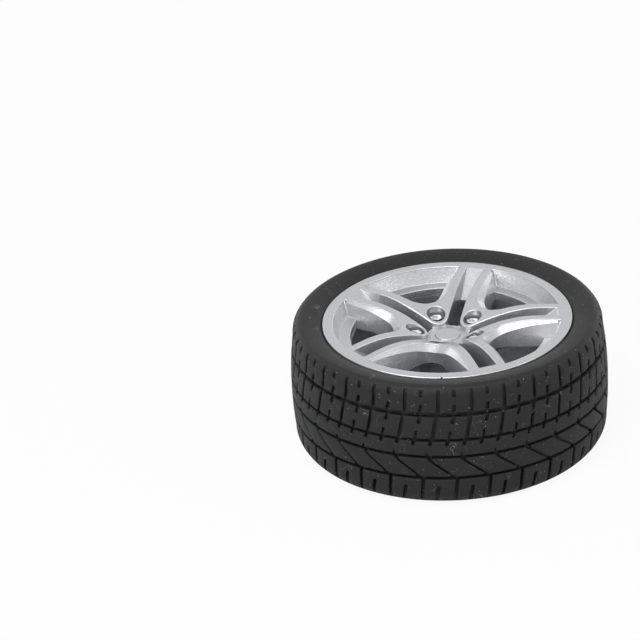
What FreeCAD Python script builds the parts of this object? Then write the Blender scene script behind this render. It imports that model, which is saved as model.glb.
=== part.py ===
"""Rubber wheel, 65 mm: treaded tyre on a five-twin-spoke rim with a 12 mm hex drive.

The wheel lies on its back sidewall: Z is the axle, the face looks up, the floor is Z = 0.
"""
import FreeCAD, Part
import math
import os
import re

import Sketcher
from FreeCAD import Vector

# Driving dimensions, in millimetres and degrees. Heights are depths below the lip unless named otherwise.
SIZES = [
    ("tyre_radius", 32.5, "crown of the tread"),
    ("tyre_width", 26.5, "across both sidewalls"),
    ("sidewall_proud", 0.8, "front sidewall stands in front of the lip"),
    ("sidewall_inset", 2.6, "highest circle of the front sidewall, inside the crown"),
    ("shoulder_inset", 0.9, "front end of the tread, inside the crown"),
    ("shoulder_drop", 2.5, "front end of the tread behind the sidewall"),
    ("rest_inset", 3.5, "outer edge of the back ring that the wheel lies on, inside the crown"),
    ("rest_width", 1.4, "breadth of that ring"),
    ("crown_height", 12.5, "widest circle above the floor"),
    ("back_shoulder", 3.8, "back end of the tread above the floor"),
    ("crown_drop", 0.4, "back end of the tread below the crown"),
    ("sidewall_thick", 1.9, "wall of the carcass beside the tread"),
    ("tread_thick", 2.6, "wall of the carcass under the crown"),
    ("tread_depth", 1.0, "grooves below the crown"),
    ("shoulder_depth", 1.5, "shoulder grooves below the crown"),
    ("bead_breadth", 2.2, "radial breadth of the bead"),
    ("seat_gap", 0.05, "glue gap between bead and rim"),
    ("tread_pitches", 30, "blocks round the tyre"),
    ("front_ring", 4.93, "groove behind the front shoulder"),
    ("block_ring", 10.4, "groove behind the centre blocks"),
    ("rib_ring", 14.13, "groove behind the plain rib"),
    ("back_ring", 19.0, "groove in front of the back shoulder"),
    ("wide_ring", 0.95, "breadth of the front ring groove"),
    ("slim_ring", 0.7, "breadth of the other ring grooves"),
    ("groove_width", 0.7, "cross grooves"),
    ("lip_radius", 25.5, "outside of the rim's lip"),
    ("lip_inner", 23.3, "inside of the rim's lip"),
    ("flange_thick", 1.1, "lip flange"),
    ("back_recess", 1.0, "back flange above the floor"),
    ("seat_radius", 24.0, "bead seat"),
    ("seat_width", 2.4, "bead seat along the axle"),
    ("well_radius", 20.9, "outside of the barrel between the seats"),
    ("well_slope", 1.6, "axial run from seat to well"),
    ("barrel_wall", 1.4, "wall of the barrel"),
    ("cone_radius", 22.1, "foot of the dished band inside the lip"),
    ("cone_depth", 2.8, "depth of the dished band"),
    ("ledge_depth", 3.4, "ledge below the lip"),
    ("spoke_depth", 5.0, "underside of the spokes"),
    ("crown_radius", 17.5, "spokes stand highest here"),
    ("crown_rise", 0.35, "spokes above the lip there"),
    ("dish_radius", 16.0, "bend of the spokes towards the hub"),
    ("dish_slope", 22.8, "fall of the spokes at the hub"),
    ("plateau_radius", 3.95, "flat of the hub round the cap"),
    ("spoke_pairs", 5, "twin spokes"),
    ("pair_half", 3.5, "half the breadth of a twin spoke"),
    ("window_apex", 9.4, "inner end of a window"),
    ("window_draft", 7.0, "slope of the spoke flanks"),
    ("slot_outer", 22.7, "outer end of the slot between two arms"),
    ("slot_inner", 4.9, "inner end of that slot"),
    ("slot_half_rim", 1.85, "half the slot's width at the rim"),
    ("slot_half_mid", 1.65, "half the slot's width halfway"),
    ("slot_half_hub", 1.4, "half the slot's width at the hub"),
    ("slot_depth", 8.5, "blind end of the slot in the hub"),
    ("ramp_radius", 16.3, "foot of the ramp that closes the slot's outer end"),
    ("ramp_depth", 4.3, "foot of the ramp below the lip"),
    ("lug_circle", 6.6, "circle of the lug nuts"),
    ("lug_radius", 1.9, "lug recess"),
    ("lug_depth", 4.5, "floor of the lug recess"),
    ("lug_hole", 0.65, "hole for a nut's stem"),
    ("stem_length", 1.5, "nut stem"),
    ("press_gap", 0.03, "round a nut's stem, per side"),
    ("nut_flats", 2.2, "nut across flats"),
    ("nut_height", 1.45, "nut above the recess floor"),
    ("nut_dimple", 0.45, "radius of the dimple in the nut"),
    ("cap_radius", 3.45, "outside of the cap"),
    ("cap_gap", 0.05, "round the cap, per side"),
    ("cap_thick", 1.0, "cap disc"),
    ("cap_rise", 0.1, "cap above the plateau"),
    ("ring_radius", 2.45, "raised ring on the cap"),
    ("ring_width", 0.45, "its breadth"),
    ("ring_rise", 0.35, "its height"),
    ("screw_radius", 3.0, "recess for the axle screw's head"),
    ("screw_recess", 4.2, "its depth below the cap"),
    ("cap_plug", 1.4, "length of the cap's plug"),
    ("cap_wall", 0.7, "wall of the cap's plug"),
    ("axle_bore", 1.6, "radius of the bore for the axle screw"),
    ("hub_radius", 8.6, "hub behind the spokes"),
    ("hub_back", 8.0, "back of the hub above the floor"),
    ("hex_flats", 12.1, "hex socket across flats"),
    ("hex_depth", 5.0, "hex socket"),
    ("foam_gap", 0.3, "sponge ring clear of tyre and rim"),
    ("overcut", 1.0, "how far a cutting shape stands outside what it cuts"),
]

doc = FreeCAD.newDocument("RubberWheel")


def make_sheet():
    """The spreadsheet of driving dimensions: name, value and what it is."""
    sheet = doc.addObject("Spreadsheet::Sheet", "Sizes")
    for row, (alias, value, meaning) in enumerate(SIZES, start=1):
        sheet.set(f"A{row}", alias)
        sheet.set(f"B{row}", str(value))
        sheet.setAlias(f"B{row}", alias)
        sheet.set(f"C{row}", meaning)
    doc.recompute()
    return sheet


sheet = make_sheet()
ALIASES = {alias for alias, value, meaning in SIZES}


def size(formula):
    """The present value of a formula on the sheet."""
    return float(sheet.evalExpression(formula))


def linked(formula):
    """The same formula as an expression for another object of the document."""
    return re.sub(r"[a-z_]+", lambda word: f"Sizes.{word[0]}" if word[0] in ALIASES else word[0], formula)


# Formulas that several pieces share.
LIP = "(tyre_width - sidewall_proud)"
TOP = f"({LIP} + crown_rise)"
BEND_END = "(crown_radius - dish_radius * sin(dish_slope))"
BEND_DROP = "(dish_radius * (1 - cos(dish_slope)))"
PLATEAU = f"({TOP} - {BEND_DROP} - ({BEND_END} - plateau_radius) * tan(dish_slope))"
HALF_STEP = "(180 / spoke_pairs)"
LIP_MIDDLE = "((lip_inner + seat_radius) / 2)"
BARREL_INNER = "(well_radius - barrel_wall)"
BARREL_MIDDLE = "(well_radius - barrel_wall / 2)"


def new_body(name):
    body = doc.addObject("PartDesign::Body", name)
    body.Label = name
    return body


def new_sketch(body, name, plane, height=None, turn=None):
    """A sketch on one of the body's own planes, lifted and turned by formulas on the sheet."""
    sketch = body.newObject("Sketcher::SketchObject", name)
    origin_plane = [f for f in body.Origin.OriginFeatures if f.Role == plane][0]
    sketch.AttachmentSupport = [(origin_plane, "")]
    sketch.MapMode = "FlatFace"
    if height:
        sketch.setExpression("AttachmentOffset.Base.z", linked(height))
    if turn:
        sketch.setExpression("AttachmentOffset.Rotation.Angle", linked(turn))
    return sketch


def fix_point(sketch, geometry, end, corner):
    """Ties one point of a sketch to its two formulas."""
    for kind, formula in zip(("DistanceX", "DistanceY"), corner):
        index = sketch.addConstraint(Sketcher.Constraint(kind, -1, 1, geometry, end, size(formula)))
        sketch.setExpression(f"Constraints[{index}]", linked(formula))


def add_outline(sketch, corners):
    """A closed outline of corners (x, y); one written (x, y, x_mid, y_mid) is reached by an arc."""
    points = [Vector(size(c[0]), size(c[1]), 0) for c in corners]
    first = sketch.GeometryCount
    ends = []
    for i, corner in enumerate(corners):
        start, finish = points[i - 1], points[i]
        ends.append((1, 2))
        if len(corner) == 2:
            sketch.addGeometry(Part.LineSegment(start, finish), False)
            continue
        middle = Vector(size(corner[2]), size(corner[3]), 0)
        if (middle - start).cross(finish - middle).z < 0:
            start, finish = finish, start
            ends[i] = (2, 1)
        sketch.addGeometry(Part.Arc(start, middle, finish), False)
    count = len(corners)
    for i in range(count):
        following = (i + 1) % count
        sketch.addConstraint(Sketcher.Constraint("Coincident", first + i, ends[i][1],
                                                 first + following, ends[following][0]))
    for i, corner in enumerate(corners):
        fix_point(sketch, first + i, ends[i][1], corner[:2])
        if len(corner) == 4:
            mark = sketch.addGeometry(Part.Point(Vector(size(corner[2]), size(corner[3]), 0)), True)
            fix_point(sketch, mark, 1, corner[2:])
            sketch.addConstraint(Sketcher.Constraint("PointOnObject", mark, 1, first + i))


def add_circle(sketch, x, y, radius):
    centre = Vector(size(x), size(y), 0)
    index = sketch.addGeometry(Part.Circle(centre, Vector(0, 0, 1), size(radius)), False)
    fix_point(sketch, index, 3, (x, y))
    mark = sketch.addConstraint(Sketcher.Constraint("Radius", index, size(radius)))
    sketch.setExpression(f"Constraints[{mark}]", linked(radius))


def revolve(body, name, outlines):
    """Turns outlines of (radius, height) about the axle."""
    sketch = new_sketch(body, name + "_section", "XZ_Plane")
    for outline in outlines:
        add_outline(sketch, outline)
    feature = body.newObject("PartDesign::Revolution", name)
    feature.Profile = sketch
    feature.ReferenceAxis = (sketch, ["V_Axis"])
    feature.Angle = 360
    body.Tip = feature
    return feature


def groove(body, name, outlines):
    """Cuts outlines of (radius, height) all round."""
    sketch = new_sketch(body, name + "_section", "XZ_Plane")
    for outline in outlines:
        add_outline(sketch, outline)
    feature = body.newObject("PartDesign::Groove", name)
    feature.Profile = sketch
    feature.ReferenceAxis = (sketch, ["V_Axis"])
    feature.Angle = 360
    body.Tip = feature
    return feature


def pocket(body, sketch, name, depth, draft=None, upward=False):
    feature = body.newObject("PartDesign::Pocket", name)
    feature.Profile = sketch
    feature.Type = 0
    feature.Length = size(depth)
    feature.setExpression("Length", linked(depth))
    feature.Reversed = upward
    if draft:
        feature.TaperAngle = -size(draft)
        feature.setExpression("TaperAngle", "-" + linked(draft))
    body.Tip = feature
    return feature


def repeat_round(body, name, features, count):
    """Repeats features about the axle."""
    pattern = body.newObject("PartDesign::PolarPattern", name)
    pattern.Originals = features
    axis = [f for f in body.Origin.OriginFeatures if f.Role == "Z_Axis"][0]
    pattern.Axis = (axis, [""])
    pattern.Angle = 360
    pattern.Occurrences = int(size(count))
    pattern.setExpression("Occurrences", linked(count))
    body.Tip = pattern
    return pattern


def tyre_section():
    """Outside from the front bead over the tread to the back bead, then back through the hollow."""
    bead = "(seat_radius + seat_gap)"
    lip_edge = "(lip_radius + seat_gap)"
    sidewall = "(tyre_radius - sidewall_inset)"
    shoulder = "(tyre_radius - shoulder_inset)"
    rest = "(tyre_radius - rest_inset)"
    back_edge = "(tyre_radius - crown_drop)"
    inner = "(tyre_radius - tread_thick)"
    toe = f"({bead} + bead_breadth)"
    front_seat = f"({LIP} - flange_thick)"
    back_seat = "(back_recess + flange_thick)"
    bead_width = "(seat_width - 0.4)"
    back_wall = "(sidewall_thick + 0.2)"
    front_wall = "(tyre_width - sidewall_thick - 0.2)"
    return [
        (bead, front_seat),
        (lip_edge, front_seat),
        (lip_edge, f"{LIP} - 0.25"),
        (f"({lip_edge} + {sidewall}) / 2", "tyre_width - 0.3"),
        (sidewall, "tyre_width"),
        (f"{sidewall} + 0.75 * ({shoulder} - {sidewall})", "tyre_width - 0.3 * shoulder_drop"),
        (shoulder, "tyre_width - shoulder_drop"),
        (f"{shoulder} + 0.65 * shoulder_inset", "(tyre_width - shoulder_drop + crown_height) / 2 + 1.1"),
        ("tyre_radius", "crown_height"),
        (back_edge, "back_shoulder"),
        (f"{rest} + 0.72 * ({back_edge} - {rest})", "0.3 * back_shoulder"),
        (rest, "0"),
        (f"{rest} - rest_width", "0"),
        (lip_edge, "back_recess + 0.2"),
        (lip_edge, back_seat),
        (bead, back_seat),
        (bead, f"{back_seat} + {bead_width}"),
        (toe, f"{back_seat} + {bead_width}"),
        (f"{toe} + 0.9", back_wall),
        (inner, back_wall),
        (inner, front_wall),
        (f"{toe} + 0.9", front_wall),
        (toe, f"{front_seat} - {bead_width}"),
        (bead, f"{front_seat} - {bead_width}"),
    ]


def ring_groove(centre, width, depth):
    """Section of a groove that runs round the tyre."""
    low, high = f"{LIP} - {centre} - {width} / 2", f"{LIP} - {centre} + {width} / 2"
    floor, outside = f"tyre_radius - ({depth})", "tyre_radius + overcut"
    return [(floor, low), (outside, low), (outside, high), (floor, high)]


def cross_cut(start, finish, width="groove_width"):
    """Outline of a cut between two places, each (share of a pitch round the tyre, depth behind the lip).

    On the sketch, X runs round the tyre, in millimetres at the crown, and Y runs up the axle.
    """
    pitch = "2 * pi * tyre_radius / tread_pitches"
    x0, x1 = f"{start[0]} * {pitch}", f"{finish[0]} * {pitch}"
    y0, y1 = f"{LIP} - ({start[1]})", f"{LIP} - ({finish[1]})"
    half = f"{width} / 2"
    return [(f"{x0} - {half}", y0), (f"{x1} - {half}", y1), (f"{x1} + {half}", y1), (f"{x0} + {half}", y0)]


def ring_grooves():
    """Sections of the four grooves that run round the tyre."""
    return [
        ring_groove("front_ring", "wide_ring", "shoulder_depth - 0.2"),
        ring_groove("block_ring", "slim_ring", "tread_depth"),
        ring_groove("rib_ring", "slim_ring", "tread_depth"),
        ring_groove("back_ring", "slim_ring", "tread_depth + crown_drop / 2"),
    ]


def shoulder_cuts():
    """One pitch of cuts in the two shoulders: through grooves and half-length slots between them."""
    front_end, back_end = "0 - sidewall_proud - 0.1", "tyre_width - sidewall_proud - 0.8"
    return [
        cross_cut(("0", front_end), ("-0.025", "front_ring")),
        cross_cut(("0.4725", front_end), ("0.4725", "1.3")),
        cross_cut(("0.472", "back_ring"), ("0.388", back_end)),
        cross_cut(("-0.07", "back_ring + 1.9"), ("-0.19", back_end)),
    ]


def block_cuts():
    """One pitch of cuts between the shoulders: a block end and a slanted groove."""
    return [
        cross_cut(("-0.07", "front_ring"), ("-0.2225", "block_ring")),
        cross_cut(("-0.375", "rib_ring"), ("0.408", "back_ring"), "1.1 * groove_width"),
    ]


def make_tyre():
    body = new_body("tyre")
    revolve(body, "carcass", [tyre_section()])
    groove(body, "ring_grooves", ring_grooves())
    doc.recompute()
    cuts = []
    for name, outlines, depth in (("shoulder", shoulder_cuts(), "shoulder_depth"),
                                  ("block", block_cuts(), "tread_depth")):
        sketch = new_sketch(body, name + "_cuts", "YZ_Plane", "tyre_radius + overcut")
        for outline in outlines:
            add_outline(sketch, outline)
        cuts.append(pocket(body, sketch, name + "_pockets", f"overcut + {depth}"))
    doc.recompute()
    repeat_round(body, "tread", cuts, "tread_pitches")
    return body


def disc_section():
    """Hub and spoke disc as one turned blank, its edge buried in the barrel's wall."""
    return [
        ("0", PLATEAU),
        ("plateau_radius", PLATEAU),
        (BEND_END, f"{TOP} - {BEND_DROP}"),
        ("crown_radius - dish_radius * sin(dish_slope / 2)", f"{TOP} - dish_radius * (1 - cos(dish_slope / 2))"),
        ("crown_radius", TOP),
        ("lip_inner", LIP),
        (LIP_MIDDLE, LIP),
        (LIP_MIDDLE, f"{LIP} - flange_thick"),
        ("(cone_radius + seat_radius) / 2", f"{LIP} - cone_depth"),
        (BARREL_MIDDLE, f"{LIP} - (ledge_depth + spoke_depth) / 2"),
        (BARREL_MIDDLE, f"{LIP} - spoke_depth"),
        ("hub_radius", f"{LIP} - spoke_depth"),
        ("hub_radius", "hub_back"),
        ("0", "hub_back"),
    ]


def barrel_section():
    """Wall of the rim from the lip over both bead seats to the back flange."""
    front_seat = f"{LIP} - flange_thick"
    back_seat = "back_recess + flange_thick"
    return [
        ("lip_inner", LIP),
        ("lip_radius", LIP),
        ("lip_radius", front_seat),
        ("seat_radius", front_seat),
        ("seat_radius", f"{front_seat} - seat_width"),
        ("well_radius", f"{front_seat} - seat_width - well_slope"),
        ("well_radius", f"{back_seat} + seat_width + well_slope"),
        ("seat_radius", f"{back_seat} + seat_width"),
        ("seat_radius", back_seat),
        ("lip_radius", back_seat),
        ("lip_radius", "back_recess"),
        ("lip_inner", "back_recess"),
        (BARREL_INNER, f"{back_seat} + seat_width + well_slope"),
        (BARREL_INNER, f"{LIP} - ledge_depth"),
        ("cone_radius", f"{LIP} - ledge_depth + 0.1"),
        ("cone_radius", f"{LIP} - cone_depth"),
    ]


def window_outline():
    """A window between two twin spokes, about its own middle line: straight flanks, a round apex."""
    corner = f"((window_apex * sin({HALF_STEP}) - pair_half) / (1 - sin({HALF_STEP})))"
    centre = f"(window_apex + {corner})"
    outer = "(seat_radius + overcut)"
    run = f"sqrt({outer}^2 - pair_half^2)"
    end_x = f"({run} * cos({HALF_STEP}) + pair_half * sin({HALF_STEP}))"
    end_y = f"({run} * sin({HALF_STEP}) - pair_half * cos({HALF_STEP}))"
    flank_x = f"({centre} - {corner} * sin({HALF_STEP}))"
    flank_y = f"({corner} * cos({HALF_STEP}))"
    return [
        (end_x, end_y, outer, "0"),
        (flank_x, flank_y),
        (flank_x, f"0 - {flank_y}", "window_apex", "0"),
        (end_x, f"0 - {end_y}"),
    ]


def slot_outline():
    """The slot between the two arms of a pair: waisted sides, a round inner end."""
    shoulder = "(slot_inner + slot_half_hub * 0.6)"
    middle = "(slot_inner + slot_outer) / 2"
    return [
        ("slot_outer", "slot_half_rim"),
        (shoulder, "slot_half_hub", middle, "slot_half_mid"),
        (shoulder, "0 - slot_half_hub", "slot_inner", "0"),
        ("slot_outer", "0 - slot_half_rim", middle, "0 - slot_half_mid"),
    ]


def ramp_outline():
    """Side view of the web that closes a slot's outer end with a ramp."""
    return [
        ("slot_outer", LIP),
        (LIP_MIDDLE, LIP),
        (LIP_MIDDLE, f"{LIP} - flange_thick"),
        ("(cone_radius + seat_radius) / 2", f"{LIP} - cone_depth"),
        (BARREL_MIDDLE, f"{LIP} - (ledge_depth + spoke_depth) / 2"),
        (BARREL_MIDDLE, f"{LIP} - spoke_depth"),
        ("ramp_radius", f"{LIP} - spoke_depth"),
        ("ramp_radius", f"{LIP} - ramp_depth"),
    ]


def make_rim():
    body = new_body("rim")
    revolve(body, "spoke_disc", [disc_section()])
    doc.recompute()

    windows = new_sketch(body, "window_outline", "XY_Plane", TOP, HALF_STEP)
    add_outline(windows, window_outline())
    slots = new_sketch(body, "slot_outline", "XY_Plane", TOP)
    add_outline(slots, slot_outline())
    recesses = new_sketch(body, "lug_outline", "XY_Plane", TOP, HALF_STEP)
    add_circle(recesses, "lug_circle", "0", "lug_radius")
    stems = new_sketch(body, "stem_outline", "XY_Plane", TOP, HALF_STEP)
    add_circle(stems, "lug_circle", "0", "lug_hole")
    cuts = [
        pocket(body, windows, "window", "crown_rise + spoke_depth + overcut / 2", draft="window_draft"),
        pocket(body, slots, "slot", "crown_rise + slot_depth"),
        pocket(body, recesses, "lug_recess", "crown_rise + lug_depth"),
        pocket(body, stems, "stem_hole", "crown_rise + lug_depth + stem_length + press_gap"),
    ]
    doc.recompute()
    repeat_round(body, "face_pattern", cuts, "spoke_pairs")
    doc.recompute()

    ramp_side = new_sketch(body, "ramp_side", "XZ_Plane")
    add_outline(ramp_side, ramp_outline())
    ramp = body.newObject("PartDesign::Pad", "ramp")
    ramp.Profile = ramp_side
    ramp.Midplane = True
    ramp.setExpression("Length", linked("slot_half_rim + pair_half"))
    body.Tip = ramp
    doc.recompute()
    repeat_round(body, "ramp_pattern", [ramp], "spoke_pairs")
    revolve(body, "barrel", [barrel_section()])
    doc.recompute()

    cap_seat = new_sketch(body, "cap_seat", "XY_Plane", PLATEAU)
    add_circle(cap_seat, "0", "0", "cap_radius + cap_gap")
    pocket(body, cap_seat, "cap_recess", "cap_thick - cap_rise")
    screw_seat = new_sketch(body, "screw_seat", "XY_Plane", PLATEAU)
    add_circle(screw_seat, "0", "0", "screw_radius")
    pocket(body, screw_seat, "screw_recess", "cap_thick - cap_rise + screw_recess")
    bore_end = new_sketch(body, "bore_end", "XY_Plane", "hub_back")
    add_circle(bore_end, "0", "0", "axle_bore")
    pocket(body, bore_end, "bore", f"{PLATEAU} - hub_back", upward=True)
    hex_end = new_sketch(body, "hex_end", "XY_Plane", "hub_back")
    reach = "hex_flats / sqrt(3)"
    add_outline(hex_end, [(f"{reach} * cos({60 * i})", f"{reach} * sin({60 * i})") for i in range(6)])
    pocket(body, hex_end, "hex_socket", "hex_depth", upward=True)
    return body


def make_cap():
    """Push-in cap: a disc with a raised ring, and a plug that fits the screw recess."""
    body = new_body("centre_cap")
    top = f"({PLATEAU} + cap_rise)"
    plug = "(screw_radius - cap_gap)"
    revolve(body, "cap_turning", [[
        ("0", top),
        ("ring_radius - ring_width", top),
        ("ring_radius - ring_width * 0.7", f"{top} + ring_rise"),
        ("ring_radius - ring_width * 0.2", f"{top} + ring_rise"),
        ("ring_radius", top),
        ("cap_radius - 0.15", top),
        ("cap_radius", f"{top} - 0.15"),
        ("cap_radius", f"{top} - cap_thick"),
        (plug, f"{top} - cap_thick"),
        (plug, f"{top} - cap_thick - cap_plug"),
        (f"{plug} - cap_wall", f"{top} - cap_thick - cap_plug"),
        (f"{plug} - cap_wall", f"{top} - cap_thick"),
        ("0", f"{top} - cap_thick"),
    ]])
    return body


def make_lug_nuts():
    """Hex-head studs pressed into the lug recesses: one made, the rest placed round the hub."""
    floor = size(f"{LIP} - lug_depth")
    reach = size("nut_flats / sqrt(3)")
    height = size("nut_height")
    corners = [Vector(reach * math.cos(math.radians(60 * i)), reach * math.sin(math.radians(60 * i)), floor)
               for i in range(7)]
    head = Part.Face(Part.makePolygon(corners)).extrude(Vector(0, 0, height))
    dimple = Part.makeCylinder(size("nut_dimple"), height / 3, Vector(0, 0, floor + height * 2 / 3))
    stem_length = size("stem_length")
    stem = Part.makeCylinder(size("lug_hole - press_gap"), stem_length, Vector(0, 0, floor - stem_length))
    nut = head.cut(dimple).fuse(stem).removeSplitter()
    nut.translate(Vector(size("lug_circle"), 0, 0))
    pairs = int(size("spoke_pairs"))
    nuts = []
    for i in range(pairs):
        placed = nut.copy()
        placed.rotate(Vector(0, 0, 0), Vector(0, 0, 1), size(HALF_STEP) * (2 * i + 1))
        nuts.append(placed)
    feature = doc.addObject("Part::Feature", "lug_nuts")
    feature.Label = "lug_nuts"
    feature.Shape = Part.makeCompound(nuts)
    return feature


def make_foam():
    """Sponge ring in the tyre's hollow, round the rim's well."""
    body = new_body("foam_insert")
    inside, outside = "(well_radius + foam_gap)", "(tyre_radius - tread_thick - foam_gap)"
    front = f"({LIP} - flange_thick - seat_width - well_slope - foam_gap)"
    back = "(back_recess + flange_thick + seat_width + well_slope + foam_gap)"
    revolve(body, "foam_turning", [[(inside, back), (outside, back), (outside, front), (inside, front)]])
    return body


def check(pieces):
    """Stops with a message if any object failed or any piece is not a valid solid."""
    for thing in doc.Objects:
        if "Invalid" in thing.State or "Error" in thing.State:
            raise RuntimeError(f"{thing.Name} did not compute: {thing.State}")
    for piece in pieces:
        if piece.Shape.isNull() or not piece.Shape.isValid() or not piece.Shape.Solids:
            raise RuntimeError(f"{piece.Label} is not a valid solid")


pieces = [make_tyre(), make_rim(), make_cap(), make_lug_nuts(), make_foam()]
doc.recompute()
check(pieces)
os.makedirs("parts", exist_ok=True)
for piece in pieces:
    piece.Shape.exportStep(f"parts/{piece.Label}.step")
    box = piece.Shape.BoundBox
    print(f"{piece.Label}: {len(piece.Shape.Solids)} solid(s), {piece.Shape.Volume:.1f} mm3, "
          f"z {box.ZMin:.2f} to {box.ZMax:.2f}")
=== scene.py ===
"""Rubber wheel: road tread, twin-spoke rim, centre cap and lug nuts, with a plain studio round it."""

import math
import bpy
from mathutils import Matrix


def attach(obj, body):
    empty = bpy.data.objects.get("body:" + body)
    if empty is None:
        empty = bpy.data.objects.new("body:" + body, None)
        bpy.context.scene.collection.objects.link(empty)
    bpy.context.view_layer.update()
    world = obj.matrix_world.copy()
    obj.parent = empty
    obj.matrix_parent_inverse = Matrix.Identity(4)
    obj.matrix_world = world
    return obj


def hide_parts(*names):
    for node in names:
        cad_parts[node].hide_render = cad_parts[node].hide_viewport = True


bl_info = {
    "name": "Rubber Wheel",
    "version": (1, 0, 0),
    "blender": (4, 5, 0),
    "location": "View3D > Sidebar > Rubber Wheel",
    "description": "A 65 mm model wheel: rubber tyre with a road tread, silver rim of twin spokes, cap and nuts",
    "category": "Add Mesh",
}

import bmesh
import bpy
from bpy.props import FloatProperty, FloatVectorProperty, IntProperty, PointerProperty
from mathutils import Matrix, Vector, geometry, kdtree

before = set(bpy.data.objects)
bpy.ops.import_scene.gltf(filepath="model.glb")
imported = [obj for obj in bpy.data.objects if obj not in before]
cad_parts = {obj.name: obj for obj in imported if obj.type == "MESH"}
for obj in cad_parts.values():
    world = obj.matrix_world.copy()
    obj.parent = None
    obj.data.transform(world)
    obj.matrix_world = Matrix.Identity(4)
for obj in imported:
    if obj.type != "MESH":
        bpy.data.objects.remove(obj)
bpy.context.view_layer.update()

# Fixed shape of the wheel in millimetres. Heights are above the floor, and LIP is the height of the rim's front.
LIP = 25.7
LIP_RADIUS, LIP_INNER = 25.5, 23.3
TYRE_RADIUS = 32.5
TYRE_EDGE = TYRE_RADIUS - 6.95
SIDEWALL_POINTS = 12
PITCHES = 30
PITCH = 2 * math.pi * TYRE_RADIUS / PITCHES
DEGREE = math.radians(1) * TYRE_RADIUS
# Ring grooves by depth behind the lip and half width, then the radii of the grooves' floor between four depths.
RING_GROOVES = {"front": (4.93, 0.475), "block": (10.4, 0.35), "rib": (14.13, 0.35), "back": (19.0, 0.35)}
FLOOR_EDGES, FLOOR_RADII = (4.455, 5.405, 18.65, 19.35), (31.0, 31.2, 31.5, 31.3, 31.0)
SPOKE_PAIRS = 5
HALF_STEP = math.radians(36)
SPOKE_STEP = 2 * HALF_STEP
PLATEAU = 21.71
# Inside CROWN_RADIUS the spokes' face sinks by DISH_RATE times the distance from it to the power DISH_POWER.
CROWN_RADIUS, CROWN_TOP = 17.5, 26.05
DISH_RATE, DISH_POWER = 0.0327, 1.816
UNDERSIDE = LIP - 5.0
SLOT_FLOOR = LIP - 11.0
SLOT_OUTER, SLOT_MIDDLE, SLOT_INNER = 1.85, 1.53, 1.28
RAMP_FOOT, RAMP_END, RAMP_DROP = 16.3, 22.7, 4.3
WINDOW_FLANK, WINDOW_APEX, WINDOW_INSET = 3.5, 9.6, 1.6
BAND_TOP, BAND_FOOT, LEDGE_INNER, LEDGE_DROP = 23.32, 22.15, 19.9, 3.25
CAP_RADIUS, CAP_SEAT = 3.85, 20.8
FLASH_NUB = (-2.3, -25.42, LIP - 0.05)
LUG_RING, LUG_RECESS, LUG_FLOOR, LOBE_RADIUS = 6.6, 1.9, LIP - 4.5, 2.6
HUB_RADIUS, HUB_BACK, HUB_SEAT, BORE_RADIUS = 8.6, 8.0, 13.0, 1.6

# Lamps: name, place, height on the axle that it points at, and size, all in metres, and power.
LAMPS = (
    ("overhead softbox", (-0.15, -0.42, 0.83), 0.01, (1.0, 0.5), 5.2),
    ("front softbox", (-0.55, -0.6, 0.5), 0.01, (0.6, 0.35), 2.2),
    ("right softbox", (0.62, -0.2, 0.42), 0.01, (0.35, 0.35), 0.9),
    ("back left strip", (-0.6, 0.75, 0.16), 0.02, (0.7, 0.3), 0.9),
    ("back right strip", (0.6, 0.75, 0.16), 0.02, (0.7, 0.3), 0.8),
)


class WheelSettings(bpy.types.PropertyGroup):
    """Sizes and colours that a user would change."""

    block_edge: FloatProperty(
        name="Tread edge", description="Rounding of the tread blocks' edges", default=0.16 * 0.001,
        min=0, unit="LENGTH", subtype="DISTANCE", precision=5)
    spoke_edge: FloatProperty(
        name="Spoke edge", description="Rounding of the spokes' top edges", default=0.32 * 0.001,
        min=0, unit="LENGTH", subtype="DISTANCE", precision=5)
    outline_step: FloatProperty(
        name="Outline step", description="Spacing of points along moulded outlines", default=0.34 * 0.001,
        min=0.0001, unit="LENGTH", subtype="DISTANCE", precision=5)
    segments: IntProperty(
        name="Segments", description="Facets round the tyre and the rim", default=240, min=60)
    rubber_colour: FloatVectorProperty(
        name="Rubber", description="Colour of the tyre", subtype="COLOR", size=3,
        default=(0.0135, 0.0136, 0.014), min=0, max=1)
    silver_colour: FloatVectorProperty(
        name="Silver", description="Colour of the rim and cap", subtype="COLOR", size=3,
        default=(0.50, 0.505, 0.52), min=0, max=1)
    nut_colour: FloatVectorProperty(
        name="Plating", description="Colour of the lug nuts", subtype="COLOR", size=3,
        default=(0.78, 0.78, 0.79), min=0, max=1)
    sponge_colour: FloatVectorProperty(
        name="Sponge", description="Colour of the sponge inside the tyre", subtype="COLOR", size=3,
        default=(0.05, 0.05, 0.052), min=0, max=1)
    lamp_power: FloatProperty(
        name="Lamps", description="Strength of all lamps, 1 is plain", default=1.0, min=0, subtype="FACTOR")


def polar(radius, angle, centre=(0.0, 0.0)):
    """The plan point at a radius and angle about a centre."""
    return centre[0] + radius * math.cos(angle), centre[1] + radius * math.sin(angle)


def arc_through(start, middle, finish, count):
    """Points after start on the circle through three points, up to finish."""
    ax, ay = middle[0] - start[0], middle[1] - start[1]
    bx, by = finish[0] - start[0], finish[1] - start[1]
    cross = 2 * (ax * by - ay * bx)
    a2, b2 = ax * ax + ay * ay, bx * bx + by * by
    cx = start[0] + (by * a2 - ay * b2) / cross
    cy = start[1] + (ax * b2 - bx * a2) / cross
    radius = math.hypot(start[0] - cx, start[1] - cy)
    first = math.atan2(start[1] - cy, start[0] - cx)
    last = math.atan2(finish[1] - cy, finish[0] - cx)
    turn = (last - first + math.pi) % (2 * math.pi) - math.pi
    return [polar(radius, first + turn * k / count, (cx, cy)) for k in range(1, count + 1)]


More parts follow.
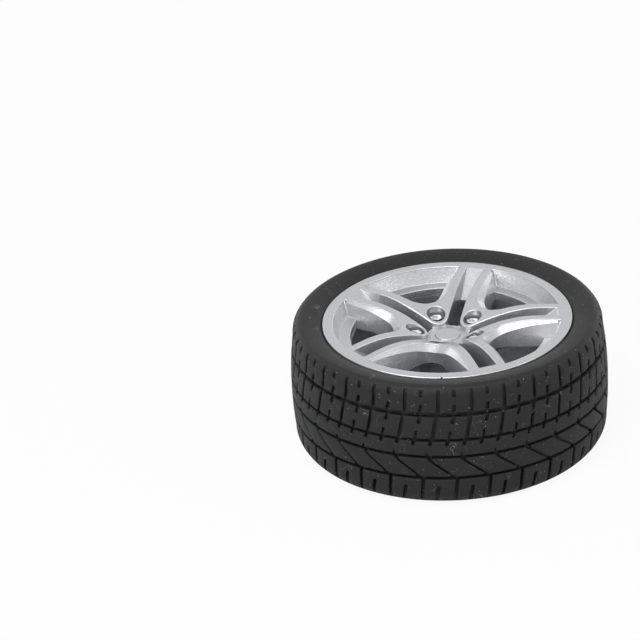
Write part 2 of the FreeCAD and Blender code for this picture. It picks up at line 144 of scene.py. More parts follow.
def soften(corners, steps=5, closed=False):
    """A path whose corners (x, y, radius) are rounded; a radius of 0 leaves the corner sharp."""
    path = []
    count = len(corners)
    for i, (x, y, radius) in enumerate(corners):
        ends = not closed and i in (0, count - 1)
        if radius == 0 or ends:
            path.append((x, y))
            continue
        here = Vector((x, y))
        before = Vector(corners[i - 1][:2]) - here
        after = Vector(corners[(i + 1) % count][:2]) - here
        angle = before.angle(after)
        reach = min(radius / math.tan(angle / 2), 0.49 * before.length, 0.49 * after.length)
        radius = reach * math.tan(angle / 2)
        before.normalize()
        after.normalize()
        centre = here + (before + after).normalized() * (radius / math.sin(angle / 2))
        start, finish = here + before * reach, here + after * reach
        first = math.atan2(start.y - centre.y, start.x - centre.x)
        last = math.atan2(finish.y - centre.y, finish.x - centre.x)
        turn = (last - first + math.pi) % (2 * math.pi) - math.pi
        path += [polar(radius, first + turn * k / steps, centre) for k in range(steps + 1)]
    return path


def divide(path, step):
    """A closed path with its long edges divided."""
    points = []
    for i, (x, y) in enumerate(path):
        nx, ny = path[(i + 1) % len(path)]
        count = max(1, round(math.hypot(nx - x, ny - y) / step))
        points += [(x + (nx - x) * k / count, y + (ny - y) * k / count) for k in range(count)]
    return points


def inside(x, y, loop):
    """Whether a point lies inside a closed loop."""
    found = False
    for (x0, y0), (x1, y1) in zip(loop, loop[1:] + loop[:1]):
        if (y0 > y) != (y1 > y) and x < (x1 - x0) * (y - y0) / (y1 - y0) + x0:
            found = not found
    return found


def edge_normals(outline, joint):
    """At each point, the way out of the material, longer at sharp corners; none where joint says all is joined."""
    count = len(outline)
    normals = []
    for i, (x, y) in enumerate(outline):
        sides = []
        for start, finish, joined in ((outline[i - 1], (x, y), joint[i - 1]),
                                      ((x, y), outline[(i + 1) % count], joint[i])):
            dx, dy = finish[0] - start[0], finish[1] - start[1]
            length = math.hypot(dx, dy)
            if not joined:
                sides.append(Vector((dy / length, -dx / length)))
        total = sum(sides, Vector((0, 0)))
        if len(sides) == 2:
            total = total.normalized() / max(0.6, math.cos(sides[0].angle(sides[1]) / 2))
        normals.append(total)
    return normals


def raise_plate(bm, outlines, place, edge, foot, joined=None, grid=1.0, steps=3):
    """A moulded surface: top, rounded edges and walls, over a plan with one outer outline and any holes.

    The outer outline runs counter-clockwise and holes run clockwise. place(x, y, drop) gives the point in space.
    edge(x, y) is the rounding there, and foot(x, y, nx, ny) gives the plan places and drops of the wall below it.
    joined(x, y) marks a side that goes on into a neighbour, without an edge.
    """
    flat, chains, top_verts, loops = [], [], [], []
    for outline in outlines:
        count = len(outline)
        marks = [bool(joined and joined(x, y)) for x, y in outline]
        joint = [marks[i] and marks[(i + 1) % count] for i in range(count)]
        normals = edge_normals(outline, joint)
        sizes = [edge(x, y) for x, y in outline]
        start = len(flat)
        rows = []
        for row in range(steps + 1):
            turn = math.pi / 2 * row / steps
            places = [(x - n.x * size * (1 - math.sin(turn)), y - n.y * size * (1 - math.sin(turn)))
                      for (x, y), n, size in zip(outline, normals, sizes)]
            if row == 0:
                flat += places
                loops.append(places)
            rows.append([bm.verts.new(place(x, y, size * (1 - math.cos(turn))))
                         for (x, y), size in zip(places, sizes)])
        walls = [foot(x, y, n.x, n.y) for (x, y), n in zip(outline, normals)]
        for stage in range(max(len(wall) for wall in walls)):
            rows.append([bm.verts.new(place(*wall[min(stage, len(wall) - 1)])) for wall in walls])
        top_verts += rows[0]
        chains += [(start + i, start + (i + 1) % count) for i in range(count)]
        for upper, lower in zip(rows, rows[1:]):
            for i in range(count):
                following = (i + 1) % count
                if not joint[i]:
                    bm.faces.new((upper[i], lower[i], lower[following], upper[following]))
        for row in rows[1:]:
            for vert in row:
                if not vert.link_faces:
                    bm.verts.remove(vert)
    tree = kdtree.KDTree(len(flat))
    for i, (x, y) in enumerate(flat):
        tree.insert((x, y, 0), i)
    tree.balance()
    xs, ys = [p[0] for p in loops[0]], [p[1] for p in loops[0]]
    inner = []
    for row in range(int((max(ys) - min(ys)) / grid) + 1):
        for column in range(int((max(xs) - min(xs)) / grid) + 1):
            x = min(xs) + (column + 0.5 * (row % 2) + 0.25) * grid
            y = min(ys) + (row + 0.5) * grid
            if tree.find((x, y, 0))[2] < 0.45 * grid or not inside(x, y, loops[0]):
                continue
            if not any(inside(x, y, hole) for hole in loops[1:]):
                inner.append((x, y))
    points = [Vector(p) for p in flat + inner]
    made, _, faces, origins, _, _ = geometry.delaunay_2d_cdt(points, chains, [], 1, 1e-7)
    top_verts += [bm.verts.new(place(x, y, 0)) for x, y in inner]
    lookup = [top_verts[o[0]] if o else bm.verts.new(place(p.x, p.y, 0)) for p, o in zip(made, origins)]
    for face in faces:
        corners = [made[i] for i in face]
        area = (corners[1] - corners[0]).cross(corners[2] - corners[0])
        verts = [lookup[i] for i in face]
        middle = sum(corners, Vector((0, 0))) / 3
        if abs(area) < 1e-9 or any(inside(middle.x, middle.y, hole) for hole in loops[1:]):
            continue
        bm.faces.new(verts if area > 0 else verts[::-1])


def revolve(bm, profile, segments):
    """Revolves (radius, height) points about the axle; the material lies to the right of the path."""
    rings = []
    for radius, height in profile:
        if radius == 0:
            rings.append([bm.verts.new((0, 0, height))])
            continue
        rings.append([bm.verts.new((*polar(radius, 2 * math.pi * k / segments), height)) for k in range(segments)])
    for first, second in zip(rings, rings[1:]):
        for k in range(segments):
            following = (k + 1) % segments
            corners = [first[k % len(first)], second[k % len(second)],
                       second[following % len(second)], first[following % len(first)]]
            unique = list(dict.fromkeys(corners))
            if len(unique) > 2:
                bm.faces.new(unique)


def mesh_piece(name, bm, replaced, material, smooth=38):
    """Puts a finished mesh, drawn in millimetres, in the scene as a piece that stands for a CAD node."""
    bmesh.ops.scale(bm, vec=(0.001, 0.001, 0.001), verts=bm.verts)
    mesh = bpy.data.meshes.new(name)
    bm.to_mesh(mesh)
    bm.free()
    mesh.shade_smooth()
    mesh.set_sharp_from_angle(angle=math.radians(smooth))
    piece = bpy.data.objects.new(name, mesh)
    bpy.context.collection.objects.link(piece)
    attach(piece, "root")
    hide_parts(replaced)
    mesh.materials.append(material)


def outer_profile():
    """The tyre's outside from its edge at the rim's lip, over the tread, to the back edge."""
    path = [(TYRE_EDGE + 0.22, LIP - 0.32)]
    for middle, finish, count in (
            (((TYRE_EDGE + 29.9) / 2, 26.17), (29.9, 26.5), SIDEWALL_POINTS),
            ((31.175, 25.75), (31.6, 24.0), 18),
            ((32.185, 19.35), (TYRE_RADIUS, 12.5), 24),
            ((32.42, 8.15), (32.1, 3.8), 16),
            ((31.232, 1.14), (29.0, 0.0), 20)):
        path += arc_through(path[-1], middle, finish, count)
    return path + [(27.6, 0.0), (TYRE_EDGE, 1.2)]


def radius_at(profile, height):
    """The outer profile's radius at a height, on its tread side."""
    side = profile[SIDEWALL_POINTS:]
    for (r0, z0), (r1, z1) in zip(side, side[1:]):
        if z0 >= height >= z1 and z0 > z1:
            return r0 + (r1 - r0) * (z0 - height) / (z0 - z1)
    return side[0][0]


def height_at(profile, radius, front):
    """The height at which the tread side of the outer profile crosses a radius, in front or at the back."""
    side = profile[SIDEWALL_POINTS:-2] if front else profile[-3:SIDEWALL_POINTS - 1:-1]
    for (r0, z0), (r1, z1) in zip(side, side[1:]):
        if r0 <= radius <= r1:
            return z0 + (z1 - z0) * (radius - r0) / (r1 - r0)
    return side[0][1]


def slot_path(degree, depth, end_degree, end_depth, half, steps=6):
    """Outline of a slot in a block that opens at the first place and ends round at the second."""
    x0, y0, x1, y1 = degree * DEGREE, -depth, end_degree * DEGREE, -end_depth
    sign = 1 if y1 > y0 else -1
    cy = y1 - sign * half
    share = (cy - y0) / (y1 - y0)
    cx = x0 + (x1 - x0) * share
    bow = [(cx - half * math.cos(math.pi * k / steps), cy + sign * half * math.sin(math.pi * k / steps))
           for k in range(steps + 1)]
    return [(x0 - half, y0)] + bow + [(x0 + half, y0)]


def corner(degree, depth, radius, shift=0.0):
    """A rounded corner of a block, given in degrees round the tyre and depth behind the lip."""
    return (degree * DEGREE + shift, -depth, radius)


def sharp(points):
    return [(x, y, 0) for x, y in points]


def tread_blocks(front_end, back_end):
    """Outlines of one pitch of the tread, each with the sides on which it joins its neighbour."""
    half, fine, slant = 0.35, 0.25, 0.385
    front, block, rib, back = RING_GROOVES.values()
    blunt = 0.22

    shoulder_end = front[0] - front[1]
    shoulder = ([corner(0, front_end, 0, half), corner(-0.28, shoulder_end, blunt, half)]
                + sharp(slot_path(5.12, shoulder_end, 5.72, 2.75, half))
                + [corner(11.72, shoulder_end, blunt, -half), corner(12, front_end, 0, -half)]
                + sharp(slot_path(5.67, front_end, 5.67, 1.3, half)[::-1]))

    block_start, block_end = front[0] + front[1], block[0] - block[1]
    lean = (block_end - block_start) * 1.83 / 5.3
    centre = ([corner(-0.98, block_start, blunt, half), corner(-0.98 - lean, block_end, blunt, half)]
              + sharp(slot_path(3.24, block_end, 3.83, 8.4, fine))
              + [corner(11.02 - lean, block_end, blunt, -half), corner(11.02, block_start, blunt, -half)]
              + sharp(slot_path(5.28, block_start, 4.5, 6.9, half)[::-1]))

    rib_start, rib_end = block[0] + block[1], rib[0] - rib[1]
    plain = ([(0, -rib_start, 0), (0, -rib_end, 0)]
             + sharp(slot_path(7.3, rib_end, 7.42, 13.15, fine))
             + [(PITCH, -rib_end, 0), (PITCH, -rib_start, 0)]
             + sharp(slot_path(8.72, rib_start, 8.33, 11.7, half)[::-1])
             + sharp(slot_path(2.72, rib_start, 2.33, 11.7, half)[::-1]))

    slant_start, slant_end = rib[0] + rib[1], back[0] - back[1]
    line = [(-4.4, slant_start, blunt), (-3.1, slant_start + 0.75, 1.2), (-0.6, slant_start + 1.9, 1.2),
            (2.1, slant_start + 3.1, 1.2), (4.6, slant_end, blunt)]
    slanted = ([corner(degree, depth, radius, slant) for degree, depth, radius in line]
               + [corner(degree + 12, depth, radius, -slant) for degree, depth, radius in reversed(line)])

    rear_start = back[0] + back[1]
    rear = ([corner(-6.4, rear_start, blunt, half), corner(-7.34, back_end, 0, half)]
            + sharp(slot_path(-2.3, back_end, -0.84, 20.9, half))
            + [corner(4.66, back_end, 0, -half), corner(5.6, rear_start, blunt, -half)])
    return {
        "shoulder": (shoulder, lambda x, y: y > -front_end - 1e-6),
        "centre": (centre, None),
        "rib": (plain, lambda x, y: x < 1e-6 or x > PITCH - 1e-6),
        "slanted": (slanted, None),
        "rear": (rear, lambda x, y: y < -back_end + 1e-6),
    }


def floor_radius(height):
    """Radius of the grooves' floor at a height."""
    depth = LIP - height
    passed = sum(depth >= edge for edge in FLOOR_EDGES[:2]) + sum(depth > edge for edge in FLOOR_EDGES[2:])
    return FLOOR_RADII[passed]


class WHEEL_OT_tyre(bpy.types.Operator):
    """Mould the tyre: sidewalls, beads and hollow turned, tread blocks raised one pitch at a time"""
    bl_idname = "wheel.tyre"
    bl_label = "Tyre"

    def execute(self, context):
        settings = context.scene.rubber_wheel
        profile = outer_profile()
        wall_radius, edge = FLOOR_RADII[0], TYRE_EDGE
        front_height, back_height = (height_at(profile, wall_radius, front) for front in (True, False))
        front_wall = [(radius, height) for i, (radius, height) in enumerate(profile)
                      if i <= SIDEWALL_POINTS or (height > front_height and radius < wall_radius)]
        back_wall = [(radius, height) for radius, height in profile[:-2]
                     if height < back_height and radius < wall_radius]
        floor = [(wall_radius, front_height)]
        for depth, before, after in zip(FLOOR_EDGES, FLOOR_RADII, FLOOR_RADII[1:]):
            floor += [(before, LIP - depth), (after, LIP - depth)]
        floor.append((wall_radius, back_height))
        bm = bmesh.new()
        revolve(bm, front_wall + [(wall_radius, front_height)], settings.segments)
        revolve(bm, floor, settings.segments)
        bead, toe, inner = edge - 1.5, edge + 0.7, TYRE_RADIUS - 2.6
        hollow = [(edge, 2.1, 0), (bead, 2.1, 0), (bead, 4.1, 0), (toe, 4.1, 0), (toe + 0.9, 2.1, 0),
                  (inner, 2.1, 1.6), (inner, 24.4, 1.6), (toe + 0.9, 24.4, 0), (toe, 22.6, 0), (bead, 22.6, 0),
                  (bead, 24.6, 0), (edge, 24.6, 0), (edge, LIP - 0.75, 0), (edge + 0.22, LIP - 0.32, 0)]
        revolve(bm, [(wall_radius, back_height)] + back_wall + profile[-2:] + soften(hollow), settings.segments)

        def place(x, y, drop):
            height = min(26.5, LIP + y)
            return (*polar(radius_at(profile, height) - drop, x / TYRE_RADIUS), height)

        def foot(x, y, nx, ny):
            height = LIP + y
            return [(x, y, max(0.0, radius_at(profile, height) - floor_radius(height)) + 0.06)]

        edge_size, step = settings.block_edge * 1000, settings.outline_step * 1000
        pitch = bmesh.new()
        for outline, joined in tread_blocks(LIP - front_height, LIP - back_height).values():
            points = divide(soften(outline, 3, closed=True), step)
            raise_plate(pitch, [points], place, lambda x, y: edge_size, foot, joined, grid=1.1)
        bmesh.ops.create_icosphere(bm, subdivisions=2, radius=0.2, matrix=Matrix.Translation(FLASH_NUB))
        one = bpy.data.meshes.new("pitch")
        pitch.to_mesh(one)
        for k in range(PITCHES):
            before = len(bm.verts)
            bm.from_mesh(one)
            bm.verts.ensure_lookup_table()
            bmesh.ops.rotate(bm, cent=(0, 0, 0), verts=bm.verts[before:],
                             matrix=Matrix.Rotation(2 * math.pi * k / PITCHES, 3, "Z"))
        pitch.free()
        bpy.data.meshes.remove(one)
        bmesh.ops.remove_doubles(bm, verts=bm.verts, dist=0.0005)
        mesh_piece("tyre_rubber_moulding", bm, "tyre", rubber_material(settings))
        return {"FINISHED"}


def face_height(radius):
    """Height of the spokes' top surface: dished towards the hub, crowned, and level again at the lip."""
    if radius <= CROWN_RADIUS:
        return CROWN_TOP - DISH_RATE * (CROWN_RADIUS - radius) ** DISH_POWER
    share = min(1.0, (radius - CROWN_RADIUS) / (LIP_INNER - CROWN_RADIUS))
    return CROWN_TOP - 0.35 * share ** 2


def circle(radius, step, centre=(0.0, 0.0), clockwise=False):
    count = max(24, round(2 * math.pi * radius / step))
    sign = -1 if clockwise else 1
    return [polar(radius, sign * 2 * math.pi * k / count, centre) for k in range(count)]


def spun(points, angle):
    cos, sin = math.cos(angle), math.sin(angle)
    return [(x * cos - y * sin, x * sin + y * cos) for x, y in points]


def window_plan(step, inset=0.0, outer=LIP_INNER, corner_radius=0.25):
    """A window about its own middle line, clockwise: straight flanks, a round apex, the lip's arc outside."""
    flank, apex = WINDOW_FLANK + inset, WINDOW_APEX + inset
    bow = (apex * math.sin(HALF_STEP) - flank) / (1 - math.sin(HALF_STEP))
    centre = apex + bow
    run = math.sqrt(outer ** 2 - flank ** 2)
    end = Vector((run * math.cos(HALF_STEP) + flank * math.sin(HALF_STEP),
                  run * math.sin(HALF_STEP) - flank * math.cos(HALF_STEP)))
    half_apex = math.pi / 2 - HALF_STEP
    arc = [(centre - bow * math.cos(half_apex * (1 - k / 8)), bow * math.sin(half_apex * (1 - k / 8)), 0)
           for k in range(17)]
    reach = math.atan2(end.y, end.x)
    lip = [(*polar(outer, reach * (k / 12 - 1)), 0) for k in range(1, 24)]
    corners = [(end.x, -end.y, corner_radius)] + lip + [(end.x, end.y, corner_radius)] + arc
    return divide(soften(corners, 4, closed=True), step)[::-1]


def hub_opening(step):
    """The opening round the hub, clockwise: five slots that taper inwards, with the lugs' lobes between them."""
    lug = polar(LUG_RING, HALF_STEP)
    mouth = lug[1] - LOBE_RADIUS
    side = arc_through((RAMP_END, SLOT_OUTER), (15.5, SLOT_MIDDLE), (10.0, mouth), 16)[:-1]
    side += [(10.0, mouth), (lug[0], mouth)]
    path = [(x, -y, 0) for x, y in reversed(side)]
    path += [(RAMP_END, -SLOT_OUTER, 0.25), (RAMP_END, SLOT_OUTER, 0.25)] + [(x, y, 0) for x, y in side]
    for i in range(1, 12):
        path.append((*polar(LOBE_RADIUS, -math.pi / 2 - (math.pi - SPOKE_STEP) * i / 12, lug), 0))
    corners = []
    for k in range(SPOKE_PAIRS):
        corners += [(*spun([(x, y)], SPOKE_STEP * k)[0], radius) for x, y, radius in path]
    return divide(soften(corners, 4, closed=True), step)[::-1]


def ramp_drop(x):
    """Depth of the ramp below the lip at a distance along the slot."""
    return RAMP_DROP * (RAMP_END - x) / (RAMP_END - RAMP_FOOT)


class WHEEL_OT_rim(bpy.types.Operator):
    """Mould the rim: lip, twin spokes with slots and lug recesses, stepped barrel, hub with hex socket"""
    bl_idname = "wheel.rim"
    bl_label = "Rim"

    def execute(self, context):
        settings = context.scene.rubber_wheel
        step, edge = settings.outline_step * 1000, settings.spoke_edge * 1000
        bm = bmesh.new()

        def place(x, y, drop):
            return (x, y, face_height(math.hypot(x, y)) - drop)

        def rounding(x, y):
            return edge * (0.5 if by_lug(x, y) else 0.8)

        def foot(x, y, nx, ny):
            """The wall under the lip, a lug recess, the hub's opening, the band's arc or a window's flank."""
            radius = math.hypot(x, y)
            top = face_height(radius)
            along, across = nearest_spoke(x, y)
            if radius > 24.5:
                return [(x, y, 0.6)]
            if by_lug(x, y):
                return [(x, y, top - LUG_FLOOR)]
            if radius < 5.6 or abs(across) < SLOT_OUTER + 0.1:
                if along > RAMP_FOOT:
                    return [(x, y, top - LIP + ramp_drop(along) + 0.08)]
                return [(x, y, top - (SLOT_FLOOR if along < HUB_RADIUS else UNDERSIDE))]
            if radius > LIP_INNER - 0.3:
                return [(x * 1.004, y * 1.004, 0.9)]
            bevel, fall = window_bevel(radius), top - UNDERSIDE
            return [(x + nx * bevel, y + ny * bevel, bevel + 0.2),
                    (x + nx * WINDOW_INSET, y + ny * WINDOW_INSET, fall)]

        holes = [hub_opening(step)]
        for k in range(SPOKE_PAIRS):
            turned = SPOKE_STEP * k + HALF_STEP
            lug = polar(LUG_RING, turned)
            holes += [spun(window_plan(step), turned), circle(LUG_RECESS, step * 0.8, lug, clockwise=True)]
            bm.faces.new([bm.verts.new((*polar(LUG_RECESS + 0.05, 2 * math.pi * i / 40, lug), LUG_FLOOR))
                          for i in range(40)])
        raise_plate(bm, [circle(LIP_RADIUS, step)] + holes, place, rounding, foot, grid=0.8, steps=4)
        self.add_hub_disc(bm, step)
        self.add_ramps(bm)
        self.add_corners(bm)
        self.add_underside(bm, step)
        revolve(bm, soften([
            (LIP_RADIUS, LIP - 0.2, 0), (LIP_RADIUS, 24.6, 0.1), (24.0, 24.6, 0), (24.0, 22.2, 0.2),
            (20.9, 20.6, 0.4), (20.9, 6.1, 0.4), (24.0, 4.5, 0.2), (24.0, 2.1, 0), (LIP_RADIUS, 2.1, 0.1),
            (LIP_RADIUS, 1.0, 0.25), (LIP_INNER, 1.0, 0.35), (LEDGE_INNER, 6.1, 0.8),
            (LEDGE_INNER, LIP - LEDGE_DROP, 0.2),
            (BAND_FOOT, LIP - LEDGE_DROP, 0.22), (BAND_TOP, LIP - 0.25, 0.0)], 5), settings.segments)
        self.add_hub(bm, step)
        mesh_piece("rim_silver_moulding", bm, "rim", silver_material(settings), smooth=26)
        return {"FINISHED"}

    def add_hub_disc(self, bm, step):
        """Flat disc between the lobes, round the cap, with a short end at each slot."""
        end = [(4.62, -1.05), (4.3, -0.98), (4.34, 0.0), (4.3, 0.98), (4.62, 1.05)]
        outline = []
        for k in range(SPOKE_PAIRS):
            outline += spun(end + [polar(4.78, math.radians(a)) for a in range(14, 60, 4)], SPOKE_STEP * k)

        def foot(x, y, nx, ny):
            return [(x, y, PLATEAU - (SLOT_FLOOR if math.hypot(x, y) > 4 else CAP_SEAT))]

        raise_plate(bm, [divide(outline, step), circle(CAP_RADIUS + 0.03, step, clockwise=True)],
                    lambda x, y, drop: (x, y, PLATEAU - drop), lambda x, y: 0.1 if math.hypot(x, y) > 4 else 0.04,
                    foot, grid=0.6)

    def add_ramps(self, bm):
        """Webs that close the outer ends of the slots with a ramp, hollow where they meet the arms."""
        for k in range(SPOKE_PAIRS):
            rows = []
            for i in range(9):
                x = RAMP_FOOT + (RAMP_END + 0.05 - RAMP_FOOT) * i / 8
                half = 1.62 + 0.27 * i / 8
                rise = min(0.22, 0.8 * ramp_drop(x) + 0.02)
                sides = [(-half, rise), (-half + 0.06, 0.3 * rise), (-half + 0.22, 0), (half - 0.22, 0),
                         (half - 0.06, 0.3 * rise), (half, rise)]
                row = spun([(x, y) for y, up in sides], SPOKE_STEP * k)
                rows.append([bm.verts.new((px, py, LIP - ramp_drop(x) - 0.02 + up))
                             for (px, py), (y, up) in zip(row, sides)])
            foot_row = spun([(RAMP_FOOT, y) for y in (-1.62, -1.56, -1.4, 1.4, 1.56, 1.62)], SPOKE_STEP * k)
            rows.insert(0, [bm.verts.new((px, py, UNDERSIDE)) for px, py in foot_row])
            for first, second in zip(rows, rows[1:]):
                for i in range(5):
                    bm.faces.new((first[i], second[i], second[i + 1], first[i + 1]))

    def add_corners(self, bm, size=0.24):
        """Hollow corners between the arms' flanks and the band, and between the flanks and the ledge."""
        for k in range(SPOKE_PAIRS):
            for side in (1, -1):
                rows = []
                for i in range(8):
                    drop = 0.3 + (LEDGE_DROP - 0.3) * i / 7
                    radius = BAND_TOP - (BAND_TOP - BAND_FOOT) * (drop - 0.25) / (LEDGE_DROP - 0.25)
                    flank = flank_at(drop)
                    x = math.sqrt(radius ** 2 - flank ** 2)
                    swing = math.atan2(flank, x) + size / radius
                    rows.append([(x - size, flank, LIP - drop), (x - 0.29 * size, flank + 0.29 * size, LIP - drop),
                                 (*polar(radius, swing), LIP - drop)])
                flank, low = flank_at(LEDGE_DROP), LIP - LEDGE_DROP
                for i in range(5):
                    radius = BAND_FOOT - 0.1 + (LEDGE_INNER + 0.1 - BAND_FOOT) * i / 4
                    x = math.sqrt(radius ** 2 - flank ** 2)
                    row = [(x, flank - 0.04, low + size), (x, flank + 0.25 * size, low + 0.29 * size),
                           (x, flank + size, low + 0.01)]
                    rows.append(row)
                for first, second in list(zip(rows, rows[1:]))[:7] + list(zip(rows[8:], rows[9:])):
                    upper, lower = ([bm.verts.new((*spun([(x, side * y)], SPOKE_STEP * k)[0], z))
                                     for x, y, z in row] for row in (first, second))
                    for i in range(2):
                        corners = (upper[i], lower[i], lower[i + 1], upper[i + 1])
                        bm.faces.new(corners if side == 1 else corners[::-1])

    def add_underside(self, bm, step):
        """Flat back of the spokes, with the windows and slots open."""
        def place(x, y, drop):
            return (x, -y, UNDERSIDE + drop)

        opening, windows = [], []
        hole = HUB_RADIUS - 0.2
        gap = math.asin(SLOT_INNER / hole)
        arc = [polar(hole, gap + 2 * (HALF_STEP - gap) * i / 12) for i in range(13)]
        for k in range(SPOKE_PAIRS):
            windows.append(spun(window_plan(step, WINDOW_INSET, 19.8, 0.2), SPOKE_STEP * k + HALF_STEP))
            opening += spun([(RAMP_FOOT, -1.58), (RAMP_FOOT, 1.58)] + arc, SPOKE_STEP * k)
        raise_plate(bm, [circle(20.1, step * 2), divide(opening, step)[::-1]] + windows, place, lambda x, y: 0.02,
                    lambda x, y, nx, ny: [(x, y, 0.05)], grid=2.0)

    def add_hub(self, bm, step):
        """Hub behind the spokes: hex socket, screw bore and the recess under the cap."""
        revolve(bm, [(HUB_RADIUS, SLOT_FLOOR), (HUB_RADIUS, HUB_BACK + 0.2)], 96)
        gap = math.asin(SLOT_INNER / HUB_RADIUS)
        for k in range(SPOKE_PAIRS):
            start, sweep = SPOKE_STEP * k + gap, 2 * (HALF_STEP - gap)
            arc = [polar(HUB_RADIUS, start + sweep * i / 14) for i in range(15)]
            upper, lower = ([bm.verts.new((x, y, z)) for x, y in arc] for z in (UNDERSIDE, SLOT_FLOOR))
            for i in range(14):
                bm.faces.new((upper[i], lower[i], lower[i + 1], upper[i + 1]))
            floor = spun([(4.0, -1.5), (8.45, -1.5), (HUB_RADIUS, 0), (8.45, 1.5), (4.0, 1.5)], SPOKE_STEP * k)
            bm.faces.new([bm.verts.new((x, y, SLOT_FLOOR)) for x, y in floor])

        def place(x, y, drop):
            return (x, -y, HUB_BACK + drop)

        def foot(x, y, nx, ny):
            return [(x, y, 0.25 if math.hypot(x, y) > 8.0 else HUB_SEAT - HUB_BACK)]

        hexagon = [polar(12.1 / math.sqrt(3), math.radians(60 * i)) for i in range(6)]
        raise_plate(bm, [circle(HUB_RADIUS, step), divide(hexagon, step * 2)[::-1]], place, lambda x, y: 0.2, foot,
                    grid=1.5)
        raise_plate(bm, [circle(7.3, step * 2), circle(BORE_RADIUS, step, clockwise=True)],
                    lambda x, y, drop: (x, -y, HUB_SEAT + drop), lambda x, y: 0.1,
                    lambda x, y, nx, ny: [(x, y, 0.4)], grid=2.0)
        revolve(bm, [(BORE_RADIUS, HUB_SEAT + 0.2), (BORE_RADIUS, 16.61), (3.0, 16.61), (3.0, CAP_SEAT + 0.01),
                  (CAP_RADIUS + 0.08, CAP_SEAT + 0.01)], 64)


def window_bevel(radius):
    """Size of the bevel along a window's edge: widest at the apex, narrow at the lip."""
    return 0.35 + 1.1 * (LIP_INNER - radius) / 13.9


def flank_at(drop):
    """Distance of a window's flank from the spoke's middle line, at a depth below the lip, near the band."""
    bevel = window_bevel(LIP_INNER - 0.3)
    if drop < bevel:
        return WINDOW_FLANK + drop
    return WINDOW_FLANK + bevel + (WINDOW_INSET - bevel) * (drop - bevel) / (5.0 - bevel)


def nearest_spoke(x, y, offset=0.0):
    """Distance along and across the nearest twin spoke's middle line, or one turned from it by an offset."""
    angle = math.atan2(y, x) - offset
    return polar(math.hypot(x, y), angle - SPOKE_STEP * round(angle / SPOKE_STEP))


def by_lug(x, y):
    """Whether a point lies on the edge of a lug recess."""
    along, across = nearest_spoke(x, y, HALF_STEP)
    return math.hypot(along - LUG_RING, across) < LUG_RECESS + 0.1


class WHEEL_OT_cap(bpy.types.Operator):
    """Turn the centre cap with its low round boss"""
    bl_idname = "wheel.cap"
    bl_label = "Centre cap"

    def execute(self, context):
        top = PLATEAU + 0.01
        bm = bmesh.new()
        revolve(bm, soften([
            (0, top + 0.3, 0), (1.6, top + 0.31, 0.5), (2.2, top + 0.38, 0.2), (2.55, top + 0.34, 0.18),
            (2.62, top, 0.08), (CAP_RADIUS, top, 0.04), (CAP_RADIUS, top - 1.0, 0.05), (2.95, top - 1.0, 0),
            (2.95, top - 2.38, 0.05), (2.3, top - 2.38, 0.05), (2.3, top - 1.0, 0), (0, top - 1.0, 0)], 4), 96)
        mesh_piece("cap_silver_turning", bm, "centre_cap",
                   silver_material(context.scene.rubber_wheel))
        return {"FINISHED"}


class WHEEL_OT_lug_nuts(bpy.types.Operator):
    """Give the five lug nuts soft edges and bright plating"""
    bl_idname = "wheel.lug_nuts"
    bl_label = "Lug nuts"

    def execute(self, context):
        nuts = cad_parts["lug_nuts"]
        bevel = nuts.modifiers.new("soft edges", "BEVEL")
        bevel.width = 0.07 * 0.001
        bevel.segments = 3
        bevel.limit_method = "ANGLE"
        bevel.angle_limit = math.radians(32)
        material = plating_material(context.scene.rubber_wheel)
        for slot in nuts.material_slots:
            slot.material = material
        return {"FINISHED"}


class WHEEL_OT_sponge(bpy.types.Operator):
    """Give the sponge ring inside the tyre its open-cell surface"""
    bl_idname = "wheel.sponge"
    bl_label = "Sponge ring"

    def execute(self, context):
        material = sponge_material(context.scene.rubber_wheel)
        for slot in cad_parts["foam_insert"].material_slots:
            slot.material = material
        return {"FINISHED"}


def feed(tree, made, inputs):
    """Gives a node's inputs, named or numbered, plain values or other nodes' outputs."""
    for key, value in inputs.items():
        if isinstance(value, bpy.types.NodeSocket):
            tree.links.new(value, made.inputs[key])
        else:
            made.inputs[key].default_value = value


def node(tree, kind, inputs=None, **attributes):
    """A new shader node with its attributes set and its inputs fed."""
    made = tree.nodes.new("ShaderNode" + kind)
    for key, value in attributes.items():
        setattr(made, key, value)
    feed(tree, made, inputs or {})
    return made


def math_node(tree, operation, *values, clamp=False):
    return node(tree, "Math", dict(enumerate(values)), operation=operation, use_clamp=clamp).outputs[0]


def new_group(name, inputs, outputs):
    """A shader node group with float inputs and typed outputs, its input sockets and its output node."""
    tree = bpy.data.node_groups.new(name, "ShaderNodeTree")
    for label, value in inputs.items():
        socket = tree.interface.new_socket(name=label, in_out="INPUT", socket_type="NodeSocketFloat")
        socket.default_value = value
    for label, kind in outputs.items():
        tree.interface.new_socket(name=label, in_out="OUTPUT", socket_type=kind)
    return tree, tree.nodes.new("NodeGroupInput").outputs, tree.nodes.new("NodeGroupOutput")


def millimetres(tree):
    """Object coordinates in millimetres."""
    place = node(tree, "TexCoord").outputs["Object"]
    return node(tree, "VectorMath", operation="SCALE", inputs={0: place, "Scale": 1000}).outputs[0]


